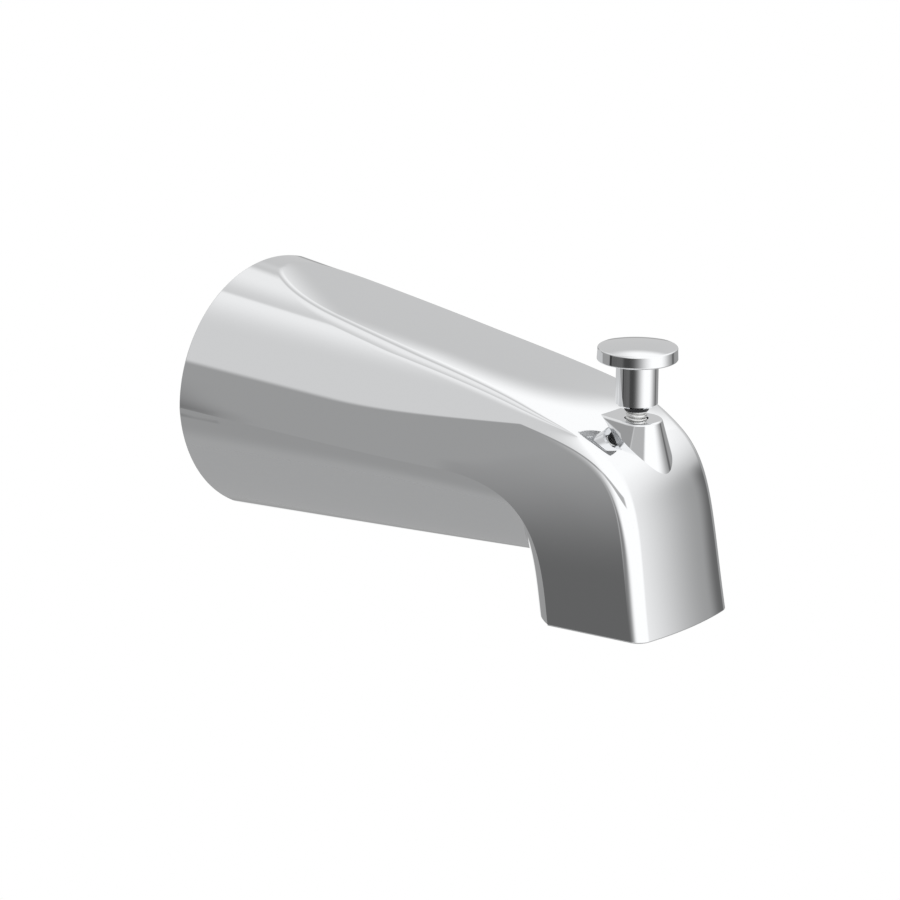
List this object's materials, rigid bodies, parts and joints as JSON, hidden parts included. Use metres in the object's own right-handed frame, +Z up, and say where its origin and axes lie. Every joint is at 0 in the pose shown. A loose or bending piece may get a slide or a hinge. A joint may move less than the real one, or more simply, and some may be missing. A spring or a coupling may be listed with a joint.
{
  "type": "bath spout",
  "caption": "Wall-mounted bath spout with a round tapered back, a flat top facet that bends down to the outlet, and a lift knob that diverts the water.",
  "frame": {"origin": "middle of the wall end, in the plane that meets the wall", "axes": "+X out of the wall along the spout, +Z up, Y across; the spout is symmetric about Y = 0"},
  "size_m": [0.1395, 0.069, 0.0685],
  "materials": {
    "chrome_casting": "polished chrome plate on a casting",
    "chrome_trim": "polished chrome plate",
    "plated_rod": "bright threaded rod",
    "brass": "machined",
    "black_rubber": "matte",
    "bush_plastic": "moulded",
    "gate_plastic": "moulded"
  },
  "bodies": {
    "spout": {"spout_body": "chrome_casting", "inlet_bushing": "brass", "rod_guide_bush": "bush_plastic", "rod_seal_ring": "black_rubber"},
    "diverter": {"diverter_knob": "chrome_trim", "diverter_rod": "plated_rod", "knob_bumper_ring": "black_rubber", "diverter_gate": "gate_plastic", "gate_seal": "black_rubber"}
  },
  "joints": [
    {"name": "diverter_lift", "type": "slide", "parent": "spout", "child": "diverter", "axis": [0, 0, 1], "range_m": [0, 0.009]}
  ]
}
